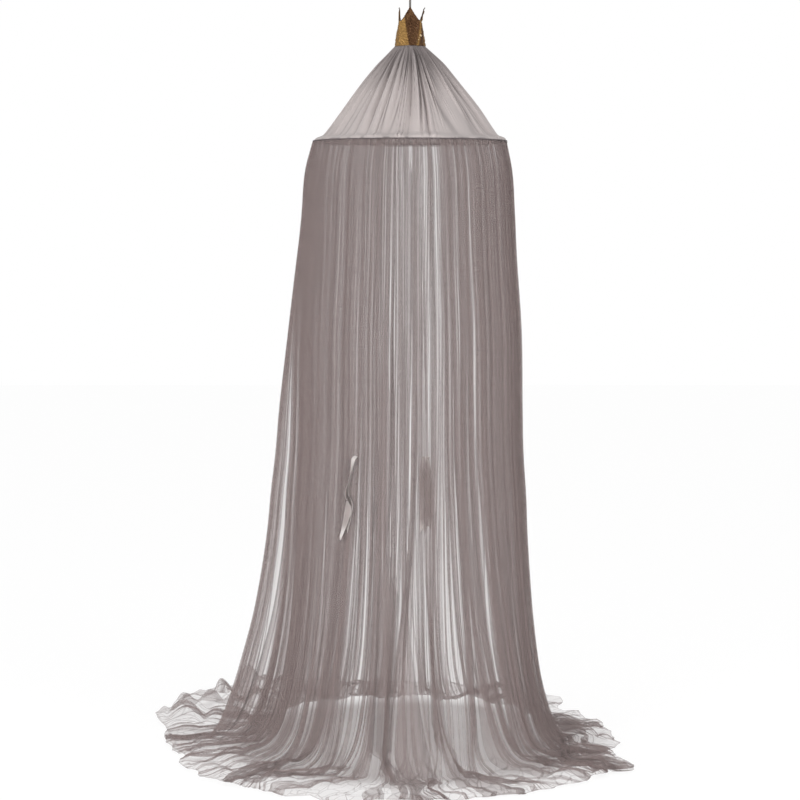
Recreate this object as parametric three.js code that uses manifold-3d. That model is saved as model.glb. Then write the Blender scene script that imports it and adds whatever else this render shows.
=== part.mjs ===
// Bed crown canopy: a net skirt gathered on a hoop under a small cloth cone with a gold crown, hung by a cord
// from a ceiling hook, with its train lying on the floor.
// Millimetres, +Z up. The origin is the middle of the ceiling plate's flat top face, and the front faces -Y.
import * as THREE from "three";
import { mergeVertices } from "three/addons/utils/BufferGeometryUtils.js";
import Module from "manifold-3d";

// Room
const ceilingHeight = 2440; // floor to ceiling
const hoopHeight = 1900; // floor to the middle of the hoop
const crownBaseHeight = 2193; // floor to the crown's lower edge

// Gaps
const seatGap = 0.3; // between pieces that touch
const cutOverrun = 2; // how far a cutting tool runs past a face

// Ceiling plate, its screws and its hook
const plateRadius = 30;
const plateThickness = 4;
const plateEdge = 1; // bevel of the lower rim
const bossRadius = 8;
const bossHeight = 5;
const screwSpread = 19; // plate middle to screw middle
const screwHeadRadius = 4;
const screwHeadDepth = 2.4;
const screwShankRadius = 1.8;
const screwSlotWidth = 1;
const screwSlotDepth = 0.9;
const hookRodRadius = 2;
const hookBendRadius = 11; // to the rod's centre line
const hookShankDrop = 4; // straight rod that shows under the boss
const hookTipRadius = 2.6; // the rounded end of the rod
const hookSweepDeg = 250; // how far the rod goes round its bend

// Ring, loop and knot
const ringWireRadius = 1.5;
const ringRadius = 12; // to the wire's centre line
const cordRadius = 3.5;
const loopBendRadius = 7; // to the cord's centre line
const loopLegLength = 17;
const loopLegHalfSpread = 4.3; // cord centre to cord centre where the legs meet the knot, halved
const knotRadius = 9;
const knotWaistRadius = 6.8;
const knotLength = 22;
const knotTurnShares = [0.6, 1.4]; // start and end of a turn of the knot, in quarters of its length

// Cone, its lining, and the gathered neck
const coverThickness = 2;
const coverFoldDepth = 2.6; // half of crest to valley, where the folds are deepest
const coverFoldCount = 16;
const coverSeatDeg = 70; // where the cover lies on the casing, from level
const coverFacetShare = 0.8; // room for the cover's facets inside the crown, as a share of its thickness
const coverMinorShare = 0.22; // fold depth under the crown
const coverShoulderShare = 0.45; // place of the row between the neck and the crown's edge
const liningThickness = 1.2;
const liningDrop = 9; // how far the lining hangs below the cover
const liningSeatDeg = 125;
const liningColumns = 28;
const seatFacetShare = 0.6; // room for a cloth's facets beside the casing, as a share of its thickness
const neckRise = 59; // crown's lower edge to the top of the neck
const neckLength = 17;
const bindingWireRadius = 1.3;
const bindingTurns = 4;
const bindingPitchShare = 0.75; // of the wire's diameter, so that the turns touch
const stopperRadius = 10;
const stopperLength = 16;

// Crown
const crownBaseRadius = 47.5;
const crownTopHalfSide = 33;
const crownBodyHeight = 75;
const crownPointHeight = 46;
const crownRightLean = 12; // how far the right point leans out
const crownShellThickness = 1.2;
const crownLiningThickness = 0.8;
const crownLiningMargin = 1.5; // the lining stops this far below the shell's top edge
const crownStripWidth = 14;
const crownStripThickness = 1;
const crownStripClearance = 0.6; // between the strip's chords and the shell's
const crownStripMargin = 4; // bare shell above and below the strip
const crownCornerPower = 7; // 2 is a circle, a large power a square
const crownColumns = 40;
const crownRows = 4;

// Hoop and what wraps it
const hoopRadius = 294; // to the rods' centre line
const hoopRodRadius = 3.5;
const hoopRodEndGap = 1;
const hoopRodCount = 4;
const hoopStepCount = 48; // chords in a full turn, shared by all that follows the hoop
const sleeveWall = 1.2;
const casingThickness = 1.4;
const casingInnerRadius = 5.6;
const pipingRadius = 1.6;
const tapeWidth = 20;
const tapeThickness = 2;

// Net
const netThickness = 2.5;
const backTopInset = 0.5; // the back's net starts this far inside the rods' centre line
const leafTopOutset = 8; // and the leaves this far outside it
const landRadius = 500; // where the net lies flat on the floor at the front
const sideFoldDeg = -86; // a large fold stands out on the left
const sideFoldWidthDeg = 5;
const sideFoldOut = 118;
const sideFoldFullShare = 0.9; // it is full this far down
const foldDepthTop = 1.5; // half of crest to valley
const foldDepthLand = 11;
const trainReach = 960; // the rim's largest radius
const trainFoldDepth = 3.6;
const leafLift = 12; // the leaves' train lies on the back's train
const backHalfGapDeg = 62; // the back's net starts this far from the front's middle
const leftLeafOuterDeg = 97; // round the large fold
const rightLeafOuterDeg = 76;
const leafInnerDeg = 0.6;
const backFoldCount = 17;
const leftLeafFoldCount = 10;
const rightLeafFoldCount = 8;
const columnsPerFold = 4;

// Tie ribbons
const ribbonWidth = 22;
const ribbonThickness = 0.8;
const ribbonFoldRadius = 5;
const ribbonFrontTail = 255;
const ribbonBackTail = 205;
const ribbonTailSpread = 14;
const ribbonTwistDeg = 18;
const leftRibbonFoldIndex = 7; // which fold of the leaf carries the ribbon
const rightRibbonFoldIndex = 0;
const ribbonArchRoomShare = 1.1; // room for the folded top, as a share of its radius
const ribbonRows = 26;
const crestShare = 0.25; // where a fold's crest lies across it, and its valley
const valleyShare = 0.75;

// The net's outline: how far it has fallen, and its share of the way out to where it lands
const fallShares = [0, 0.06, 0.22, 0.5, 0.75, 0.88, 0.95, 1];
const flareShares = [0, 0.077, 0.19, 0.3, 0.465, 0.69, 0.85, 1];
// Where the leaves land: degrees from the front, positive to the right, and share of the landing radius
const leafLandDegrees = [-97, -90, -76, -45, -15, 0, 15, 45, 76];
const leafLandShares = [1.024, 1, 0.976, 0.984, 0.994, 1, 0.994, 0.976, 0.96];
// And the back's net, the same on both sides
const backLandDegrees = [62, 106, 127, 137, 160, 180];
const backLandShares = [0.874, 0.874, 0.94, 1.02, 1.04, 1.04];
// The train's rows, as shares of the way from landing to rim
const trainShares = [0.55, 1];
// The rim all round: degrees from the front, positive to the right, and share of the train's reach
const rimDegrees = [
  -180, -150, -134, -116, -98, -87, -77, -57, -40, -27, -10, 0,
  14, 30, 37, 57, 66, 76, 100, 127, 137, 160, 180,
];
const rimRadiusShares = [
  0.917, 0.984, 0.995, 0.964, 0.849, 0.797, 0.779, 0.807, 0.823, 0.836, 0.818, 0.8,
  0.815, 0.783, 0.781, 0.814, 0.75, 0.69, 0.696, 0.723, 0.802, 0.901, 0.917,
];
const ribbonRowIndex = 3; // the ribbons are sewn on at this row of the net
// The cone's rows below the crown: place on the way to the hoop, and share of the full fold depth
const coneRowShares = [[0.12, 0.8], [0.4, 1], [0.75, 0.6], [1, 0.12]];

// Places, from the ceiling down
const floorZ = -ceilingHeight;
const hoopZ = floorZ + hoopHeight;
const crownBaseZ = floorZ + crownBaseHeight;
const backTopRadius = hoopRadius - backTopInset;
const leafTopRadius = hoopRadius + leafTopOutset;
const bossFaceZ = -(plateThickness + bossHeight);
const hookCentreZ = bossFaceZ - hookShankDrop - hookBendRadius;
const hookSeatZ = hookCentreZ - hookBendRadius + hookRodRadius;
const ringCentreZ = hookSeatZ + seatGap + ringWireRadius - ringRadius;
const ringSeatZ = ringCentreZ - ringRadius + ringWireRadius;
const loopTopZ = ringSeatZ + seatGap + cordRadius;
const loopCentreZ = loopTopZ - loopBendRadius;
const knotTopZ = loopCentreZ - loopLegLength - seatGap;
const knotBottomZ = knotTopZ - knotLength;
const neckTopZ = crownBaseZ + neckRise;
const neckBottomZ = neckTopZ - neckLength;
const cordTopZ = knotBottomZ - seatGap;
const cordBottomZ = neckTopZ + seatGap;
const casingRadius = casingInnerRadius + casingThickness;
const tapeTopZ = hoopZ - casingRadius - seatGap;
const tapeBottomZ = tapeTopZ - tapeThickness;
const netTopZ = tapeBottomZ - seatGap - netThickness / 4;

const degrees = Math.PI / 180;
const wasm = await Module();
wasm.setup();

// A point at a radius and an angle from the front, positive to the right
function around(radius, angleDeg, z) {
  const angle = angleDeg * degrees;
  return new THREE.Vector3(radius * Math.sin(angle), -radius * Math.cos(angle), z);
}

// The value at x on straight lines through (xs, ys)
function between(xs, ys, x) {
  let i = 1;
  while (i < xs.length - 1 && x > xs[i]) {
    i += 1;
  }
  const share = (x - xs[i - 1]) / (xs[i] - xs[i - 1]);
  return ys[i - 1] + share * (ys[i] - ys[i - 1]);
}

// A closed solid of even thickness on a grid of points. point(column share, row index) gives a surface, and
// the solid's middle lies out from it, by nothing where out is left off.
function sheetSolid(point, columns, rows, thickness, wrap, out = 0) {
  const across = wrap ? columns : columns + 1;
  const down = rows + 1;
  const middle = [];
  for (let row = 0; row < down; row += 1) {
    for (let column = 0; column < across; column += 1) {
      middle.push(point(column / columns, row));
    }
  }
  const at = (row, column) => {
    const r = Math.min(Math.max(row, 0), rows);
    const c = wrap ? (column + columns) % columns : Math.min(Math.max(column, 0), columns);
    return r * across + c;
  };
  const outer = [];
  const inner = [];
  for (let row = 0; row < down; row += 1) {
    for (let column = 0; column < across; column += 1) {
      const along = middle[at(row, column + 1)].clone().sub(middle[at(row, column - 1)]);
      const fall = middle[at(row + 1, column)].clone().sub(middle[at(row - 1, column)]);
      const normal = fall.cross(along).normalize();
      outer.push(middle[at(row, column)].clone().addScaledVector(normal, out + thickness / 2));
      inner.push(middle[at(row, column)].clone().addScaledVector(normal, out - thickness / 2));
    }
  }
  const base = outer.length;
  const index = [];
  const quad = (a, b, c, d) => index.push(a, b, c, a, c, d);
  for (let row = 0; row < rows; row += 1) {
    for (let column = 0; column < columns; column += 1) {
      const a = at(row, column);
      const b = at(row + 1, column);
      const c = at(row + 1, column + 1);
      const d = at(row, column + 1);
      quad(a, d, c, b);
      quad(base + a, base + b, base + c, base + d);
    }
  }
  for (let column = 0; column < columns; column += 1) {
    const [a, b] = [at(0, column), at(0, column + 1)];
    const [c, d] = [at(rows, column), at(rows, column + 1)];
    quad(a, base + a, base + b, b);
    quad(c, d, base + d, base + c);
  }
  for (let row = 0; row < rows && !wrap; row += 1) {
    const [a, b] = [at(row, 0), at(row + 1, 0)];
    const [c, d] = [at(row, columns), at(row + 1, columns)];
    quad(a, b, base + b, base + a);
    quad(c, base + c, base + d, d);
  }
  return facingOut(outer.concat(inner), index);
}

// A geometry from points and triangles, turned over where its faces point in
function facingOut(points, index) {
  let volume = 0;
  for (let i = 0; i < index.length; i += 3) {
    const [a, b, c] = [points[index[i]], points[index[i + 1]], points[index[i + 2]]];
    volume += a.dot(b.clone().cross(c));
  }
  const geometry = new THREE.BufferGeometry();
  geometry.setAttribute("position", new THREE.Float32BufferAttribute(points.flatMap((p) => p.toArray()), 3));
  geometry.setIndex(volume > 0 ? index : index.reverse());
  geometry.computeVertexNormals();
  return geometry;
}

// A solid of revolution about Z; the profile is [radius, z] pairs
function turned(profile, segments) {
  const points = profile.map(([radius, z]) => new THREE.Vector2(radius, z));
  return new THREE.LatheGeometry(points, segments).rotateX(Math.PI / 2);
}

// A round section, with a bore where an inner radius is given
function roundSection(radius, sides, innerRadius = 0) {
  const corner = (r, angle) => new THREE.Vector2(r * Math.cos(angle), r * Math.sin(angle));
  const ring = (r) => Array.from({ length: sides }, (_, i) => corner(r, (i / sides) * 2 * Math.PI));
  const shape = new THREE.Shape(ring(radius));
  if (innerRadius > 0) {
    shape.holes.push(new THREE.Path(ring(innerRadius).reverse()));
  }
  return shape;
}

function swept(section, curve, steps) {
  return new THREE.ExtrudeGeometry(section, { steps, extrudePath: curve, bevelEnabled: false });
}

// An arc of the hoop's circle, from one angle to another
class HoopArc extends THREE.Curve {
  constructor(startDeg, endDeg) {
    super();
    this.startDeg = startDeg;
    this.endDeg = endDeg;
  }
  getPoint(share) {
    return around(hoopRadius, this.startDeg + share * (this.endDeg - this.startDeg), hoopZ);
  }
}

function toManifold(geometry) {
  const plain = geometry.clone();
  plain.deleteAttribute("normal");
  plain.deleteAttribute("uv");
  const merged = mergeVertices(plain);
  const mesh = new wasm.Mesh({
    numProp: 3,
    vertProperties: new Float32Array(merged.attributes.position.array),
    triVerts: new Uint32Array(merged.index.array),
  });
  return new wasm.Manifold(mesh);
}

function fromManifold(solid) {
  const mesh = solid.getMesh();
  const geometry = new THREE.BufferGeometry();
  geometry.setAttribute("position", new THREE.BufferAttribute(mesh.vertProperties, 3));
  geometry.setIndex(new THREE.BufferAttribute(mesh.triVerts, 1));
  geometry.computeVertexNormals();
  return geometry;
}

// Ceiling plate: a turned disc with a bored boss, and a countersunk hole for each screw
function ceilingPlate() {
  const boreRadius = hookRodRadius + seatGap;
  const disc = turned(
    [
      [0, -plateThickness],
      [boreRadius, -plateThickness],
      [boreRadius, bossFaceZ],
      [bossRadius, bossFaceZ],
      [bossRadius, -plateThickness],
      [plateRadius - plateEdge, -plateThickness],
      [plateRadius, -plateThickness + plateEdge],
      [plateRadius, 0],
      [0, 0],
    ],
    32,
  );
  let solid = toManifold(disc);
  for (const side of [-1, 1]) {
    const cutter = turned(screwOutline(seatGap, cutOverrun), 16).translate(side * screwSpread, 0, 0);
    solid = solid.subtract(toManifold(cutter));
  }
  return fromManifold(solid);
}

// Half section of a countersunk screw, its head flush with the plate's lower face, or of its hole
function screwOutline(clearance, overrun) {
  const face = -plateThickness;
  const neck = face + screwHeadDepth;
  const head = [
    [0, face - overrun],
    [screwHeadRadius + clearance, face - overrun],
  ];
  const straight = overrun > 0 ? [[screwHeadRadius + clearance, face]] : [];
  const shank = [
    [screwShankRadius + clearance, neck],
    [screwShankRadius + clearance, overrun],
    [0, overrun],
  ];
  return [...head, ...straight, ...shank];
}

function ceilingScrew() {
  const slot = new THREE.BoxGeometry(2 * screwHeadRadius + cutOverrun, screwSlotWidth, 2 * screwSlotDepth);
  slot.translate(0, 0, -plateThickness);
  return fromManifold(toManifold(turned(screwOutline(0, 0), 16)).subtract(toManifold(slot)));
}

// The hook's rod: straight out of the boss, then round like a question mark to its tip
class HookCurve extends THREE.Curve {
  getPoint(share) {
    const straight = bossHeight - seatGap + hookShankDrop;
    const sweep = hookSweepDeg * degrees;
    const travelled = share * (straight + sweep * hookBendRadius);
    if (travelled < straight) {
      return new THREE.Vector3(0, 0, hookCentreZ + hookBendRadius + straight - travelled);
    }
    const angle = Math.PI / 2 - (travelled - straight) / hookBendRadius;
    return new THREE.Vector3(
      hookBendRadius * Math.cos(angle),
      0,
      hookCentreZ + hookBendRadius * Math.sin(angle),
    );
  }
}

function ceilingHook() {
  const curve = new HookCurve();
  const rod = toManifold(swept(roundSection(hookRodRadius, 8), curve, 30));
  const end = curve.getPoint(1);
  const tip = new THREE.SphereGeometry(hookTipRadius, 10, 6).translate(end.x, end.y, end.z);
  return fromManifold(rod.add(toManifold(tip)));
}

// The cord's end loop: an arch over the ring's wire, with legs that draw together above the knot
class LoopCurve extends THREE.Curve {
  getPoint(share) {
    const arch = Math.PI * loopBendRadius;
    const travelled = share * (arch + 2 * loopLegLength);
    if (travelled < loopLegLength || travelled > loopLegLength + arch) {
      const side = travelled < loopLegLength ? -1 : 1;
      const down = side < 0 ? loopLegLength - travelled : travelled - loopLegLength - arch;
      const x = THREE.MathUtils.lerp(
        loopBendRadius,
        loopLegHalfSpread,
        THREE.MathUtils.smoothstep(down / loopLegLength, 0, 1),
      );
      return new THREE.Vector3(side * x, 0, loopCentreZ - down);
    }
    const angle = Math.PI - (travelled - loopLegLength) / loopBendRadius;
    const rise = loopBendRadius * Math.sin(angle);
    return new THREE.Vector3(loopBendRadius * Math.cos(angle), 0, loopCentreZ + rise);
  }
}

// A pulled-tight knot: two turns of cord with a waist between them
function knotSolid(topZ, radius, waistRadius, length) {
  const [turnStart, turnEnd] = knotTurnShares.map((share) => (share * length) / 4);
  return turned(
    [
      [0, topZ - length],
      [waistRadius, topZ - length],
      [radius, topZ - length + turnStart],
      [radius, topZ - length + turnEnd],
      [waistRadius, topZ - length / 2],
      [radius, topZ - turnEnd],
      [radius, topZ - turnStart],
      [waistRadius + radius / 4, topZ],
      [0, topZ],
    ],
    20,
  );
}

// The stopper: the cord's lower end, through the neck of the cloth, with a knot that the cloth hangs on
function stopperSolid() {
  const knotTop = neckBottomZ - liningDrop - seatGap;
  const bottom = knotTop - stopperLength;
  return turned(
    [
      [0, bottom],
      [stopperRadius / 2, bottom],
      [stopperRadius, bottom + stopperLength / 4],
      [stopperRadius, knotTop - stopperLength / 2],
      [cordRadius, knotTop],
      [cordRadius, neckTopZ],
      [0, neckTopZ],
    ],
    16,
  );
}

// Neck radii, from the cord outwards
const liningNeckRadius = cordRadius + seatGap + liningThickness / 2;
const coverNeckRadius = liningNeckRadius + liningThickness / 2 + seatGap + coverThickness / 2;
const bindingRadius = coverNeckRadius + coverThickness / 2 + seatGap + bindingWireRadius;

// A few turns of cord round the neck, fused side by side
function bindingSolid() {
  const pitch = 2 * bindingWireRadius * bindingPitchShare;
  const middleZ = (neckTopZ + neckBottomZ) / 2;
  let solid = null;
  for (let turn = 0; turn < bindingTurns; turn += 1) {
    const z = middleZ + (turn - (bindingTurns - 1) / 2) * pitch;
    const loop = new THREE.TorusGeometry(bindingRadius, bindingWireRadius, 5, 16).translate(0, 0, z);
    solid = solid ? solid.add(toManifold(loop)) : toManifold(loop);
  }
  return fromManifold(solid);
}

// Where the cone's cloths end on the casing, by the angle from level round the casing's section
function casingSeat(angleDeg, thickness) {
  const reach = casingRadius + seatGap + thickness * seatFacetShare;
  return [hoopRadius + reach * Math.cos(angleDeg * degrees), hoopZ + reach * Math.sin(angleDeg * degrees)];
}

// The cover's half section from the top of the neck to the hoop: [radius, z, share of the full fold depth]
const crownStack = crownShellThickness / 2 + seatGap + crownLiningThickness + seatGap;
const coverRoom = coverThickness * coverFacetShare + coverMinorShare * coverFoldDepth;
const coverAtCrown = crownBaseRadius - crownStack - coverRoom;
const coverEnd = casingSeat(coverSeatDeg, coverThickness);
const coneRow = (share) => [
  THREE.MathUtils.lerp(coverAtCrown, coverEnd[0], share),
  THREE.MathUtils.lerp(crownBaseZ, coverEnd[1], share),
];
const shoulderRadius = (coverNeckRadius + coverAtCrown) / 2;
const shoulderZ = THREE.MathUtils.lerp(neckBottomZ, crownBaseZ, coverShoulderShare);
const coverProfile = [
  [coverNeckRadius, neckTopZ, 0],
  [coverNeckRadius, neckBottomZ, 0],
  [shoulderRadius, shoulderZ, coverMinorShare],
  [coverAtCrown, crownBaseZ, coverMinorShare],
  ...coneRowShares.map(([place, depth]) => [...coneRow(place), depth]),
];

function coneCover() {
  const point = (share, row) => {
    const [radius, z, depthShare] = coverProfile[row];
    const fold = Math.sin(2 * Math.PI * coverFoldCount * share) * depthShare * coverFoldDepth;
    return around(radius + fold, 360 * share, z);
  };
  return sheetSolid(point, coverFoldCount * columnsPerFold, coverProfile.length - 1, coverThickness, true);
}

function coneLining() {
  const liningEnd = casingSeat(liningSeatDeg, liningThickness);
  const rows = [
    [liningNeckRadius, neckTopZ],
    [liningNeckRadius, neckBottomZ - liningDrop / 2],
    ...coverProfile.slice(2, -2).map(([radius, z]) => [radius, z - liningDrop]),
    liningEnd,
  ];
  const point = (share, row) => around(rows[row][0], 360 * share, rows[row][1]);
  return sheetSolid(point, liningColumns, rows.length - 1, liningThickness, true);
}

// The crown's wall: a circle at the base that turns into a rounded square, with a point over each side.
// The height share is 0 at the base and 1 on the zigzag top edge.
function crownPoint(angleDeg, heightShare) {
  const side = (((angleDeg + 45) % 90) + 90) % 90;
  const tipShare = 1 - Math.abs(side - 45) / 45;
  const rise = (crownBodyHeight + crownPointHeight * tipShare) * heightShare;
  const squareShare = THREE.MathUtils.smoothstep(rise / crownBodyHeight, 0, 1);
  const power = THREE.MathUtils.lerp(2, crownCornerPower, squareShare);
  const half = THREE.MathUtils.lerp(crownBaseRadius, crownTopHalfSide, Math.min(rise / crownBodyHeight, 1));
  const cosine = Math.abs(Math.cos(angleDeg * degrees));
  const sine = Math.abs(Math.sin(angleDeg * degrees));
  const radius = half * (cosine ** power + sine ** power) ** (-1 / power);
  const point = around(radius, angleDeg, crownBaseZ + rise);
  const abovePoint = Math.max(rise - crownBodyHeight, 0) / crownPointHeight;
  if (Math.abs(angleDeg - 90) < 45) {
    point.x += crownRightLean * abovePoint;
  }
  return point;
}

// margin is how far the wall stops below the zigzag edge
function crownWall(out, thickness, margin) {
  const shortening = margin / (crownBodyHeight + crownPointHeight);
  const point = (share, row) => crownPoint(360 * share, 1 - Math.max(row / crownRows, shortening));
  return sheetSolid(point, crownColumns, crownRows, thickness, true, out);
}

// A point on the flat facets of the crown's wall
function crownFacetPoint(angleDeg, heightShare) {
  const column = Math.floor((angleDeg * crownColumns) / 360);
  const row = Math.min(Math.floor(heightShare * crownRows), crownRows - 1);
  const corner = (c, r) => crownPoint((c * 360) / crownColumns, r / crownRows);
  const acrossShare = (angleDeg * crownColumns) / 360 - column;
  const upShare = heightShare * crownRows - row;
  const lower = corner(column, row).lerp(corner(column + 1, row), acrossShare);
  const upper = corner(column, row + 1).lerp(corner(column + 1, row + 1), acrossShare);
  return lower.lerp(upper, upShare);
}

// The closing strip lies on the back panel
function crownStrip() {
  const out = crownShellThickness / 2 + crownStripClearance + crownStripThickness / 2;
  const halfDeg = crownStripWidth / 2 / crownBaseRadius / degrees;
  const tip = crownBodyHeight + crownPointHeight;
  const lowest = crownStripMargin / tip;
  const highest = (crownBodyHeight - crownStripMargin) / tip;
  const shares = [highest, 2 / crownRows, 1 / crownRows, lowest];
  const point = (share, row) => crownFacetPoint(180 + halfDeg * (2 * share - 1), shares[row]);
  return sheetSolid(point, 2, shares.length - 1, crownStripThickness, false, out);
}

// Hoop rods meet inside the sleeves; all share the hoop's chords
const rodDeg = 360 / hoopRodCount;
const stepDeg = 360 / hoopStepCount;
const rodEndDeg = hoopRodEndGap / 2 / hoopRadius / degrees;

function hoopRod(number) {
  const start = rodDeg * (number - 0.5);
  const curve = new HoopArc(start + rodEndDeg, start + rodDeg - rodEndDeg);
  return swept(roundSection(hoopRodRadius, 8), curve, hoopStepCount / hoopRodCount);
}

function hoopSleeve(number) {
  const middle = rodDeg * (number + 0.5);
  const curve = new HoopArc(middle - stepDeg, middle + stepDeg);
  const bore = hoopRodRadius + seatGap;
  return swept(roundSection(bore + sleeveWall, 8, bore), curve, 2);
}

// The casing is open at the back for one chord each way, where the hoop goes in
function hoopCasing() {
  const curve = new HoopArc(180 + stepDeg, 540 - stepDeg);
  return swept(roundSection(casingRadius, 8, casingInnerRadius), curve, hoopStepCount - 2);
}

function seamPiping() {
  const radius = hoopRadius + casingRadius + seatGap + pipingRadius;
  const piping = new THREE.TorusGeometry(radius, pipingRadius, 5, hoopStepCount);
  return piping.rotateZ(Math.PI / 2).translate(0, 0, hoopZ);
}

function headingTape() {
  const middle = (backTopRadius + leafTopRadius) / 2;
  const inner = middle - tapeWidth / 2;
  const outer = middle + tapeWidth / 2;
  return turned(
    [
      [inner, tapeBottomZ],
      [outer, tapeBottomZ],
      [outer, tapeTopZ],
      [inner, tapeTopZ],
      [inner, tapeBottomZ],
    ],
    hoopStepCount,
  );
}

// The radius at which the net lies flat on the floor
function landAt(angleDeg, isLeaf) {
  const share = isLeaf
    ? between(leafLandDegrees, leafLandShares, angleDeg)
    : between(backLandDegrees, backLandShares, Math.abs(angleDeg));
  return landRadius * share;
}

// How far the large fold stands out of the left leaf
function sideFoldAt(angleDeg, fallShare) {
  const away = (angleDeg - sideFoldDeg) / sideFoldWidthDeg;
  return sideFoldOut * Math.min(fallShare / sideFoldFullShare, 1) * Math.exp(-away * away);
}

// The net's middle surface at a fall share from 0, the tape, to 1, the floor; fold is -1 in a valley
function wallPoint(angleDeg, fallShare, fold, isLeaf) {
  const topRadius = isLeaf ? leafTopRadius : backTopRadius;
  const flare = between(fallShares, flareShares, fallShare);
  const sideFold = isLeaf ? sideFoldAt(angleDeg, fallShare) : 0;
  const radius = THREE.MathUtils.lerp(topRadius, landAt(angleDeg, isLeaf), flare) + sideFold;
  const depth = THREE.MathUtils.lerp(foldDepthTop, foldDepthLand, fallShare);
  const z = THREE.MathUtils.lerp(netTopZ, trainZ(fold, isLeaf), fallShare);
  return around(radius + depth * fold, angleDeg, z);
}

function trainZ(fold, isLeaf) {
  const lowest = floorZ + netThickness / 2 + seatGap + (isLeaf ? leafLift : 0);
  return lowest + trainFoldDepth * (1 + fold);
}

function trainPoint(angleDeg, trainShare, fold, isLeaf) {
  const start = wallPoint(angleDeg, 1, fold, isLeaf);
  const startRadius = Math.hypot(start.x, start.y);
  const rim = trainReach * between(rimDegrees, rimRadiusShares, angleDeg);
  return around(THREE.MathUtils.lerp(startRadius, rim, trainShare), angleDeg, trainZ(fold, isLeaf));
}

function netSolid(startDeg, endDeg, foldCount, isLeaf) {
  const rows = fallShares.length + trainShares.length - 1;
  const point = (share, row) => {
    const turn = THREE.MathUtils.lerp(startDeg, endDeg, share);
    const angleDeg = turn > 180 ? turn - 360 : turn;
    const fold = Math.sin(2 * Math.PI * foldCount * share);
    if (row < fallShares.length) {
      return wallPoint(angleDeg, fallShares[row], fold, isLeaf);
    }
    return trainPoint(angleDeg, trainShares[row - fallShares.length], fold, isLeaf);
  };
  return sheetSolid(point, foldCount * columnsPerFold, rows, netThickness, false);
}

// The angle of a leaf's crest or valley, counted from the leaf's first edge
function leafFoldDeg(startDeg, endDeg, foldCount, fold, phaseShare) {
  return THREE.MathUtils.lerp(startDeg, endDeg, (fold + phaseShare) / foldCount);
}

// A ribbon folded over at the top, one tail before the other. side is 1 outside the net and -1 inside.
function tieRibbon(angleDeg, side) {
  const half = ribbonThickness / 2;
  const sewnFall = fallShares[ribbonRowIndex];
  const sewn = wallPoint(angleDeg, sewnFall, side, true);
  const lower = wallPoint(angleDeg, fallShares[ribbonRowIndex + 1], side, true);
  const slope = (Math.hypot(lower.x, lower.y) - Math.hypot(sewn.x, sewn.y)) / (sewn.z - lower.z);
  const clear = netThickness / 2 + seatGap + half + ribbonFoldRadius * ribbonArchRoomShare;
  const startRadius = Math.hypot(sewn.x, sewn.y) + side * clear;
  const arch = Math.PI * ribbonFoldRadius;
  const total = ribbonFrontTail + arch + ribbonBackTail;
  const point = (share, row) => {
    const travelled = (row / ribbonRows) * total;
    const inArch = (travelled - ribbonFrontTail) / ribbonFoldRadius;
    let down = 0;
    let out = 0;
    let tail = -1;
    if (travelled < ribbonFrontTail) {
      down = ribbonFrontTail - travelled;
      out = ribbonFoldRadius;
    } else if (inArch > Math.PI) {
      down = travelled - ribbonFrontTail - arch;
      out = -ribbonFoldRadius;
      tail = 1;
    } else {
      down = -ribbonFoldRadius * Math.sin(inArch);
      out = ribbonFoldRadius * Math.cos(inArch);
      tail = 0;
    }
    const drop = Math.max(down, 0);
    const hang = drop / ribbonFrontTail;
    const lean = side > 0 ? slope * drop : 0;
    const twist = ribbonTwistDeg * degrees * Math.sin(Math.PI * hang) * tail;
    const across = (share - 0.5) * ribbonWidth;
    const sideways = across * Math.cos(twist) + tail * ribbonTailSpread * hang;
    const clearOfTwist = side * Math.abs((ribbonWidth / 2) * Math.sin(twist));
    const radius = startRadius + out + lean + clearOfTwist + across * Math.sin(twist);
    const turn = angleDeg + sideways / startRadius / degrees;
    return around(radius, turn, sewn.z - down);
  };
  return sheetSolid(point, 2, ribbonRows, ribbonThickness, false);
}

const part = new THREE.Group();

function add(name, geometry, finish) {
  const [color, roughness, metalness] = finish;
  const mesh = new THREE.Mesh(geometry, new THREE.MeshStandardMaterial({ color, roughness, metalness }));
  mesh.name = name;
  part.add(mesh);
  return mesh;
}

// Finishes: colour, roughness, metalness
const enamel = [0xe9e7e2, 0.4, 0];
const steel = [0xb8bbbe, 0.3, 1];
const cordGrey = [0x77746f, 0.85, 0];
const gold = [0xa5803f, 0.35, 0.8];
const brownBacking = [0x5a3d28, 0.8, 0];
const coneCloth = [0xb0a8a6, 0.8, 0];
const netCloth = [0xa39b9a, 0.9, 0];
const satin = [0xb3a9a8, 0.4, 0];
const darkThread = [0x6f6666, 0.8, 0];
const plastic = [0xd8d6d0, 0.5, 0];

add("ceiling_plate", ceilingPlate(), enamel);
add("ceiling_screw_left", ceilingScrew(), steel).position.set(-screwSpread, 0, 0);
add("ceiling_screw_right", ceilingScrew(), steel).position.set(screwSpread, 0, 0);
add("ceiling_hook", ceilingHook(), steel);

const ring = add("hanging_ring", new THREE.TorusGeometry(ringRadius, ringWireRadius, 8, 24), steel);
ring.rotation.y = Math.PI / 2;
ring.position.z = ringCentreZ;

add("cord_loop", swept(roundSection(cordRadius, 8), new LoopCurve(), 24), cordGrey);
add("cord_knot", knotSolid(knotTopZ, knotRadius, knotWaistRadius, knotLength), cordGrey);
const cordEnds = [cordBottomZ, cordTopZ].map((z) => new THREE.Vector3(0, 0, z));
const cordRoute = new THREE.LineCurve3(...cordEnds);
add("hanging_cord", swept(roundSection(cordRadius, 8), cordRoute, 6), cordGrey);
add("cord_stopper", stopperSolid(), cordGrey);
add("gather_binding", bindingSolid(), cordGrey);

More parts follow.
